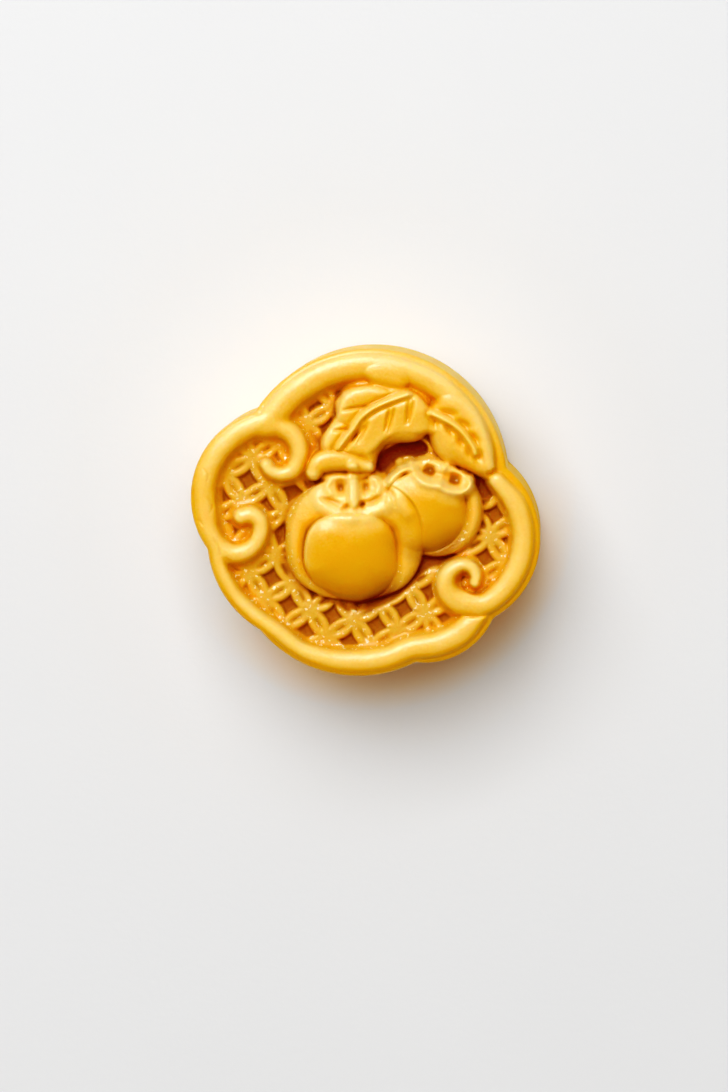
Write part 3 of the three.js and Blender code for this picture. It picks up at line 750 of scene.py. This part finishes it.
def sink_gaps(relief):
    """Sinks the pockets between the pieces, and the gap beside the front persimmon, and paints shadow in
    them.
    """
    for pocket in POCKETS:
        share = ramp(relief.outside(smooth_line(pocket["edge"], closed=True), 0.5), 0.3, -0.3)
        relief.z += (ROOT_Z - relief.z) * share
        # Painted shadow in the pocket
        relief.pocket = np.maximum(relief.pocket, pocket["painted_shadow"] * share)
    distance, _ = relief.near_line(smooth_line(FRUIT_GAP["line"]), 3.0)
    share = np.exp(-((distance / FRUIT_GAP["half"]) ** 3))
    relief.z += (FLOOR_Z - FRUIT_GAP["drop"] - relief.z) * share
    # Painted shadow in the gap beside the front persimmon
    relief.pocket = np.maximum(relief.pocket, FRUIT_GAP["painted_shadow"] * share)


def lay_rim(relief, ridges, rim_top, outer):
    """Lays the rim's ridges: all but the last merge where they meet, and the last lies over them."""
    nearest = np.full(relief.z.shape, 2.0)
    for side, _ in ridges[:-1]:
        nearest = -smooth_max(-nearest, -side, 0.5)
    relief.z = smooth_max(relief.z, round_ridge(nearest, rim_top, RIDGE_CROWN), 0.3 + 0.5 * (1 - outer))
    # Painted highlight on the ridges' crests, and on the ledge at the lit leafy end
    relief.pale = RIDGE_HIGHLIGHT * ramp(nearest, 0.95, 0.2) + LEDGE_HIGHLIGHT * outer * ramp(relief.y, 4, 14)
    side, away = ridges[-1]
    relief.lay(round_ridge(side, rim_top, RIDGE_CROWN), away, crease=0.2 * (1 - outer), blend=0.5)
    # Painted highlight on the crest of the ridge that lies over the others
    relief.pale = np.maximum(relief.pale, RIDGE_HIGHLIGHT * ramp(side, 0.95, 0.2))


def lay_leaves(relief):
    """Lays both leaves, raises their midribs and presses their veins and hollows."""
    for leaf in LEAF_PADS:
        lay_pad(relief, **leaf)
    for rib in MIDRIBS:
        distance, _ = relief.near_line(smooth_line(rib), 1.6)
        groove = np.exp(-(((distance - 0.75) / 0.32) ** 2))
        relief.z += 0.5 * np.exp(-((distance / 0.36) ** 2)) - 0.26 * groove
    for vein in VEINS:
        relief.press(vein, half=0.24, depth=0.5)
    for hollow in LEAF_HOLLOWS:
        relief.press(**hollow)


def lay_twig(relief):
    """Lays the twig over the leaf's foot, fading out at its right end."""
    lay_pad(relief, **TWIG_FOOT)
    side, away = beside_ridge(relief, TWIG)
    height = round_ridge(side, TWIG_TOP, crown=1.0, fall=5.0)
    relief.lay(height, away, crease=0.15, reach=0.6, blend=0.35, share=ramp(relief.x, 0.0, -2.6))


def face_paint(relief, inset, beside, floor_share):
    """Fields for the dough's colours, from the finished face.

    Hollow is how far a place lies below the face round it, for painted shade in creases; deep marks painted
    shade in the pits, in the folds and on the floor behind what stands proud; and facing is the slope towards
    the window, for painted highlight and shade.
    """
    hollow = (relief.blurred(relief.z, 0.9) - relief.z) * ramp(inset, 0.6, 1.8)
    # Painted shade: the floor in the lee of what stands proud, the pits and the folds
    lee = 0.6 * ramp(relief.blurred(relief.z, 1.7) - relief.z, 0.6, 1.9) * ramp(beside, 0.8, 2.4)
    pits = ramp(relief.z, FLOOR_Z - 0.2, FLOOR_Z - 0.75)
    folds = ramp(hollow, 0.35, 0.9) * ramp(beside, 0.2, 2.0)
    up, across = np.gradient(relief.blurred(relief.z, 0.25), relief.step)
    # Slope towards the window, for painted highlight on lit slopes and painted shade on far slopes
    facing = across * math.sin(LIGHT_TURN) - up * math.cos(LIGHT_TURN)
    return {
        "hollow": hollow,
        "lattice": ramp(relief.z, LEDGE_Z + 0.4, LEDGE_Z - 0.3) * floor_share,
        "deep": np.maximum.reduce([pits, lee, folds]) * floor_share,
        "painted_shadow": relief.pocket * ramp(relief.z, FLOOR_Z + 0.6, FLOOR_Z - 0.4),
        "pale": relief.pale,
        "ball_shade": relief.ball_shade,
        "facing": np.clip(facing, -1, 1) * ramp(inset, 0.1, 0.8),
    }


def pressed_face(shape):
    """The whole moulded face as a height map, and the paint fields on it."""
    low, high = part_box(CAKE)
    low, high = (low.x / MM - 1, low.y / MM - 1), (high.x / MM + 1, high.y / MM + 1)
    relief = Relief(low, high, shape.map_step / MM)
    outline = cloud_outline(0)
    edge_distance, _ = relief.near_line(np.vstack([outline[::8], outline[:1]]), 4.0)
    inset = np.where(relief.inside(outline), edge_distance, 0)
    ridges = [beside_ridge(relief, ridge) for ridge in (*MERGED_RIDGES, RIGHT_RIDGE)]
    beside = np.minimum.reduce([away for _, away in ridges])
    floor_share = ramp(inset, 1.9, 2.9)
    outer = ramp(inset, 2.6, 1.4)

    relief.z += (coin_field(relief, shape, beside) - LEDGE_Z) * floor_share
    sink_gaps(relief)
    lay_rim(relief, ridges, LEDGE_Z + shape.rim_rise / MM, outer)
    lay_body(relief, **REAR_FRUIT["body"])
    lay_ball(relief, **REAR_FRUIT["ball"])
    lay_calyx(relief, **REAR_CALYX)
    lay_leaves(relief)
    lay_twig(relief)
    lay_body(relief, **FRONT_FRUIT["body"])
    lay_ball(relief, **FRONT_FRUIT["ball"])
    lay_calyx(relief, **FRONT_CALYX)
    relief.swell(**STALK)

    for crack in CRACKS:
        relief.press(crack, half=0.12, depth=0.22)
    relief.z -= shape.groove_depth / MM * outer * np.exp(-(((beside + 0.12) / 0.14) ** 2))
    relief.z = relief.blurred(relief.z, shape.softness / MM)
    uneven = 0.04 * soft_noise(relief.x, relief.y, 2.9, 3) + 0.02 * soft_noise(relief.x, relief.y, 1.2, 1)
    relief.z += uneven * ramp(inset, 0.3, 1.2)
    relief.z = np.minimum(relief.z, FACE_TOP - 0.01)
    return relief, face_paint(relief, inset, beside, floor_share)


def face_grid(rings):
    """Places on a disc of radius 1, ring by ring over a square grid, and its faces."""
    side = np.linspace(-1, 1, 2 * rings + 1)
    a, b = np.meshgrid(side, side)
    wide = np.abs(a) > np.abs(b)
    reach = np.where(wide, a, b)
    safe = np.where(reach == 0, 1, reach)
    turn = np.where(wide, math.pi / 4 * b / safe, math.pi / 2 - math.pi / 4 * a / safe)
    u, v = reach * np.cos(turn), reach * np.sin(turn)
    count = 2 * rings + 1
    index = np.arange(count * count).reshape(count, count)
    faces = np.stack([index[:-1, :-1], index[:-1, 1:], index[1:, 1:], index[1:, :-1]], axis=-1)
    border = np.concatenate([index[0, :-1], index[:-1, -1], index[-1, :0:-1], index[:0:-1, 0]])
    return u.ravel(), v.ravel(), faces.reshape(-1, 4), border


def wall_ring(bearing, away, height):
    """Places round the wall at a height, a little further out towards the foot."""
    height = np.broadcast_to(height, bearing.shape)
    away = away * (1 + FOOT_SPREAD * (1 - height / LEDGE_Z))
    return np.column_stack([away * np.cos(bearing), away * np.sin(bearing), height])


def cake_mesh(relief, face_rings):
    """The closed skin of the cake: pressed face, rounded upper edge, wall, rounded lower edge and base."""
    u, v, faces, border = face_grid(face_rings)
    bearing = np.arctan2(v, u)
    away = np.hypot(u, v) * reach_at(cloud_outline(EDGE_ROUND), bearing)
    x, y = away * np.cos(bearing), away * np.sin(bearing)
    face = np.column_stack([x, y, relief.sample(relief.z, x, y)])

    bearing, brim_z = bearing[border], face[border, 2]
    lip = reach_at(cloud_outline(EDGE_ROUND), bearing)
    wall = reach_at(cloud_outline(0), bearing)
    wall_top = LEDGE_Z - EDGE_ROUND
    rings = []
    for step in range(1, LIP_RINGS + 1):
        turn = math.pi / 2 * step / LIP_RINGS
        height = wall_top + (brim_z - wall_top) * math.cos(turn)
        rings.append(wall_ring(bearing, lip + (wall - lip) * math.sin(turn), height))
    for height in np.linspace(wall_top, EDGE_ROUND, WALL_RINGS + 1)[1:]:
        rings.append(wall_ring(bearing, wall, height))
    for step in range(1, FOOT_RINGS + 1):
        turn = math.pi / 2 * step / FOOT_RINGS
        height = EDGE_ROUND * (1 - math.sin(turn))
        rings.append(wall_ring(bearing, wall - (wall - lip) * (1 - math.cos(turn)), height))
    foot = rings[-1]
    for share in np.linspace(1, 0, BASE_RINGS + 2)[1:-1]:
        rings.append(foot * np.array([share, share, 1]))

    quads = [faces]
    last = border
    made = len(face)
    for ring in rings:
        index = np.arange(made, made + len(ring))
        quads.append(np.column_stack([last, index, np.roll(index, -1), np.roll(last, -1)]))
        last = index
        made += len(ring)
    centre = np.full(len(last), made)
    fan = np.column_stack([last, centre, np.roll(last, -1)])
    return np.vstack([face, *rings, np.zeros((1, 3))]), np.vstack(quads), fan


class Graph:
    """Builds one material's nodes."""

    def __init__(self, name):
        self.material = bpy.data.materials.new(name)
        self.material.use_nodes = True
        self.tree = self.material.node_tree
        self.tree.nodes.clear()

    def node(self, kind, settings=None, inputs=None):
        """Adds a node, sets its settings, then its sockets' values or links."""
        made = self.tree.nodes.new(kind)
        for name, value in (settings or {}).items():
            setattr(made, name, value)
        for name, value in (inputs or {}).items():
            socket = made.inputs[name]
            if isinstance(value, Wire):
                self.tree.links.new(value.socket, socket)
            else:
                socket.default_value = value
        return made

    def wire(self, kind, output, settings=None, inputs=None):
        """Adds a node and gives one of its outputs."""
        return Wire(self, self.node(kind, settings, inputs).outputs[output])

    def noise(self, place, scale, detail=2.0):
        """Even noise from 0 to 1."""
        return self.wire(
            "ShaderNodeTexNoise", "Fac", None, {"Vector": place, "Scale": scale, "Detail": detail})

    def mix(self, share, low, high):
        """A colour between two colours."""
        low, high = [colour if isinstance(colour, Wire) else (*colour, 1) for colour in (low, high)]
        inputs = {MIX_SHARE: share, MIX_LOW: low, MIX_HIGH: high}
        return self.wire("ShaderNodeMix", MIX_RESULT, {"data_type": "RGBA"}, inputs)


class Wire:
    """A shader socket that takes part in Python expressions."""

    def __init__(self, graph, socket):
        self.graph = graph
        self.socket = socket

    def maths(self, operation, first, second):
        """A socket that carries the result of one operation on two values."""
        return self.graph.wire("ShaderNodeMath", "Value", {"operation": operation}, {0: first, 1: second})

    def __add__(self, other):
        return self.maths("ADD", self, other)

    __radd__ = __add__

    def __sub__(self, other):
        return self.maths("SUBTRACT", self, other)

    def __rsub__(self, other):
        return self.maths("SUBTRACT", other, self)

    def __mul__(self, other):
        return self.maths("MULTIPLY", self, other)

    __rmul__ = __mul__


def limited(value, low=0.0, high=1.0):
    """A value kept between two limits."""
    return value.graph.wire("ShaderNodeClamp", "Result", None, {"Value": value, "Min": low, "Max": high})


def dough_material(dough):
    """Golden translucent dough, finely grained: painted highlight on proud edges, painted shade in the
    recesses.
    """
    graph = Graph("golden_dough")
    place = graph.wire("ShaderNodeTexCoord", "Object")
    hollow, lattice, deep, painted_shadow, pale, ball_shade, facing, wall = [
        graph.wire("ShaderNodeAttribute", "Fac", {"attribute_name": name})
        for name in ("hollow", "lattice", "deep", "painted_shadow", "pale", "ball_shade", "facing", "wall")]

    mottle = graph.noise(place, MOTTLE_SCALE, 3.0) - 0.5
    grain = graph.noise(place, GRAIN_SCALE) - 0.5
    wet = graph.noise(place, WET_SCALE, 1.0) - 0.5

    # Painted highlight on crests, collars, leaves and slopes towards the window; painted shade in creases,
    # folds, pits and pockets, on far slopes and on the balls' lower right side; painted glints on the wet
    # strips
    proud = limited(pale * 0.8 - hollow * 0.8 + facing * 0.5 + mottle * 0.4 + grain * 0.3)
    crease_shade = limited((hollow - 0.04) * 1.3 + limited(facing * -0.25) + mottle * 0.1, 0.0, 0.85)
    glint = limited((graph.noise(place, GLINT_SCALE) - 0.61) * 16.0)
    glint = glint * limited(lattice - deep * 1.5) * limited(facing * 2.0 + 1.0)
    colour = graph.mix(proud, dough.body, dough.crest)
    colour = graph.mix(limited(lattice * 0.9 + mottle * lattice * 0.4), colour, dough.lattice)
    colour = graph.mix(crease_shade, colour, dough.crease)
    colour = graph.mix(ball_shade, colour, dough.pit)
    colour = graph.mix(limited(deep + mottle * deep * 0.3), colour, dough.pit)
    colour = graph.mix(painted_shadow, colour, dough.pocket)
    colour = graph.mix(glint * 0.7, colour, dough.glint)
    rough = limited(0.42 + wall * 0.4 + mottle * 0.2 + grain * 0.3 - lattice * 0.12, 0.15, 0.9)
    bump = graph.wire(
        "ShaderNodeBump", "Normal", None,
        {"Strength": 0.3, "Distance": 0.12 * MM, "Height": grain * 1.8 + mottle * 1.5 + wet * lattice * 3.0})
    skin = graph.wire(
        "ShaderNodeBsdfPrincipled", "BSDF", {"subsurface_method": "RANDOM_WALK"},
        {"Base Color": colour, "Roughness": rough, "Normal": bump,
         "Subsurface Weight": dough.glow_share, "Subsurface Radius": (1.0, 0.62, 0.26),
         "Subsurface Scale": dough.glow_depth, "IOR": 1.45, "Specular IOR Level": dough.gloss,
         "Coat Weight": limited(0.1 - wall * 0.1 + lattice * 0.2 + glint - deep * 0.4),
         "Coat Roughness": 0.12})
    graph.node("ShaderNodeOutputMaterial", None, {"Surface": skin})
    return graph.material


def floor_material(stage):
    """Pale matt floor with a faint tooth, with painted light close to the cake and a painted warm bounce in
    its shade.
    """
    graph = Graph("pale_floor")
    place = graph.wire("ShaderNodeTexCoord", "Object")
    cloud = graph.noise(place, CLOUD_SCALE, 3.0)
    tooth = graph.noise(place, TOOTH_SCALE)
    shade = [channel * 0.97 for channel in stage.floor]
    colour = graph.mix(cloud, shade, stage.floor)

    # Painted light: the brighter, cooler floor fades out from 25 to 44 mm off the middle. Painted warm bounce
    # in the cake's shade, on the side away from the light, fades out from 26 to 31 mm
    far = graph.wire("ShaderNodeVectorMath", "Value", {"operation": "LENGTH"}, {0: place})
    light = (-math.sin(LIGHT_TURN), math.cos(LIGHT_TURN), 0)
    lit = graph.wire("ShaderNodeVectorMath", "Value", {"operation": "DOT_PRODUCT"}, {0: place, 1: light})
    colour = graph.mix(limited(2.4 - far * 55.0), colour, stage.near)
    colour = graph.mix(limited(6.2 - far * 200.0) * limited(lit * -60.0 - 0.3), colour, stage.painted_bounce)
    bump = graph.wire(
        "ShaderNodeBump", "Normal", None, {"Strength": 0.12, "Distance": 0.2 * MM, "Height": tooth})
    matt = graph.wire(
        "ShaderNodeBsdfPrincipled", "BSDF", None,
        {"Base Color": colour, "Roughness": 0.85, "Normal": bump})
    graph.node("ShaderNodeOutputMaterial", None, {"Surface": matt})
    return graph.material


def new_mesh(name, places, faces):
    """A mesh object at the origin."""
    mesh = bpy.data.meshes.new(name)
    mesh.from_pydata(places, [], faces)
    mesh.update()
    made = bpy.data.objects.new(name, mesh)
    bpy.context.scene.collection.objects.link(made)
    return made


def thin_out(made, share):
    """Thins a mesh to a share of its triangles, most of them in its flat parts."""
    thin = made.modifiers.new("thin", "DECIMATE")
    thin.ratio = share
    thinned = bpy.data.meshes.new_from_object(made.evaluated_get(bpy.context.evaluated_depsgraph_get()))
    made.modifiers.clear()
    made.data = thinned


def paint_mesh(mesh, relief, paint):
    """Stores the paint fields of the face, and those of the wall, on the mesh's points."""
    spots = np.empty(3 * len(mesh.vertices))
    mesh.vertices.foreach_get("co", spots)
    x, y, z = spots.reshape(-1, 3).T / MM
    on_face = z > LEDGE_Z / 2
    wall = ramp(z, LEDGE_Z - 0.1, LEDGE_Z - 1.2)
    fields = {name: relief.sample(field, x, y) * on_face for name, field in paint.items()}
    # Painted highlight on the wall at the lit leafy end, which faces the window
    fields["pale"] = np.maximum(fields["pale"], WALL_HIGHLIGHT * wall * ramp(y, 0, 14))
    fields["wall"] = wall
    for name, values in fields.items():
        stored = mesh.attributes.new(name, "FLOAT", "POINT")
        stored.data.foreach_set("value", values)


def soft_light(name, power, rise, size):
    """A square light that faces the cake from beyond its leafy end, at an angle above the floor."""
    light = bpy.data.lights.new(name, "AREA")
    light.shape = "SQUARE"
    light.size = size
    light.energy = power
    made = bpy.data.objects.new(name, light)
    flat = LIGHT_AWAY * math.cos(rise)
    made.location = (-flat * math.sin(LIGHT_TURN), flat * math.cos(LIGHT_TURN), LIGHT_AWAY * math.sin(rise))
    made.rotation_mode = "QUATERNION"
    made.rotation_quaternion = made.location.to_track_quat("Z", "Y")
    bpy.context.scene.collection.objects.link(made)
    return made


def even_sky(colour, strength):
    """Even light from all round."""
    world = bpy.data.worlds.new("pale_room")
    world.use_nodes = True
    back = world.node_tree.nodes["Background"]
    back.inputs["Color"].default_value = (*colour, 1)
    back.inputs["Strength"].default_value = strength
    bpy.context.scene.world = world


def add_camera(lens):
    """A camera above the cake, turned so that its leafy end is up in the picture."""
    eye = Vector(CAMERA_EYE) * MM
    away = (eye - Vector(CAMERA_AIM) * MM).normalized()
    up = (Vector((0, 1, 0)) - away * away.y).normalized()
    camera = bpy.data.objects.new("camera", bpy.data.cameras.new("camera"))
    camera.data.lens = lens
    camera.data.sensor_width = 36
    camera.data.clip_start = 0.01
    camera.data.clip_end = 20
    turned = Matrix((up.cross(away), up, away)).transposed().to_4x4()
    camera.matrix_world = Matrix.Translation(eye) @ turned
    bpy.context.scene.collection.objects.link(camera)
    bpy.context.scene.camera = camera


def show_tones(view):
    """Sets how the picture shows its tones, in straight steps from one to the next."""
    view.view_transform = "Standard"
    view.use_curve_mapping = True
    tone = view.curve_mapping.curves[3]
    for shade, shown in TONES:
        tone.points.new(shade, shown)
    for point in tone.points:
        point.handle_type = "VECTOR"
    view.curve_mapping.update()


class MOONCAKE_OT_press(bpy.types.Operator):
    """Press the cake: its moulded face, wall and base as one closed skin of dough"""

    bl_idname = "mooncake.press"
    bl_label = "Press the Cake"
    bl_options = {"REGISTER", "UNDO"}

    def execute(self, context):
        shape = context.scene.cake_shape
        relief, paint = pressed_face(shape)
        places, quads, fan = cake_mesh(relief, shape.rings)
        cake = new_mesh("pressed_cake", places * MM, [*quads.tolist(), *fan.tolist()])
        triangles = 2 * len(quads) + len(fan)
        if triangles > shape.most_triangles:
            thin_out(cake, shape.most_triangles / triangles)
        if not cake.data.polygons:
            raise RuntimeError("the cake has no faces")
        cake.data.shade_smooth()
        paint_mesh(cake.data, relief, paint)
        cake.data.materials.append(dough_material(context.scene.cake_dough))
        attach(cake, "root")
        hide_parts(CAKE)
        return {"FINISHED"}


class MOONCAKE_OT_stage(bpy.types.Operator):
    """Set the stage: a pale floor, a large soft window light and a camera looking down"""

    bl_idname = "mooncake.stage"
    bl_label = "Set the Stage"
    bl_options = {"REGISTER", "UNDO"}

    def execute(self, context):
        stage = context.scene.cake_stage
        corners = [(-1, -1, 0), (1, -1, 0), (1, 1, 0), (-1, 1, 0)]
        floor = new_mesh("floor", [Vector(corner) * FLOOR_REACH for corner in corners], [(0, 1, 2, 3)])
        floor.data.materials.append(floor_material(stage))
        even_sky(stage.sky_colour, stage.sky)
        window = soft_light("window", stage.window, stage.window_rise, WINDOW_SIZE)
        window.visible_glossy = False
        card = soft_light("card", stage.card, stage.card_rise, CARD_SIZE)
        card.visible_diffuse = False
        add_camera(stage.lens)
        show_tones(context.scene.view_settings)
        return {"FINISHED"}


class VIEW3D_PT_mooncake(bpy.types.Panel):
    """Lists the cake's sizes, colours and steps"""

    bl_idname = "VIEW3D_PT_mooncake"
    bl_label = "Mooncake"
    bl_space_type = "VIEW_3D"
    bl_region_type = "UI"
    bl_category = "Mooncake"

    def draw(self, context):
        for group in (context.scene.cake_shape, context.scene.cake_dough, context.scene.cake_stage):
            box = self.layout.box()
            for name in type(group).__annotations__:
                box.prop(group, name)
        self.layout.operator(MOONCAKE_OT_press.bl_idname)
        self.layout.operator(MOONCAKE_OT_stage.bl_idname)


CLASSES = (CakeShape, CakeDough, CakeStage, MOONCAKE_OT_press, MOONCAKE_OT_stage, VIEW3D_PT_mooncake)
GROUPS = {"cake_shape": CakeShape, "cake_dough": CakeDough, "cake_stage": CakeStage}


def register():
    for kind in CLASSES:
        bpy.utils.register_class(kind)
    for name, kind in GROUPS.items():
        setattr(bpy.types.Scene, name, bpy.props.PointerProperty(type=kind))


def unregister():
    for name in GROUPS:
        delattr(bpy.types.Scene, name)
    for kind in reversed(CLASSES):
        bpy.utils.unregister_class(kind)


def main():
    register()
    bpy.ops.mooncake.press()
    bpy.ops.mooncake.stage()


if __name__ == "__main__":
    main()
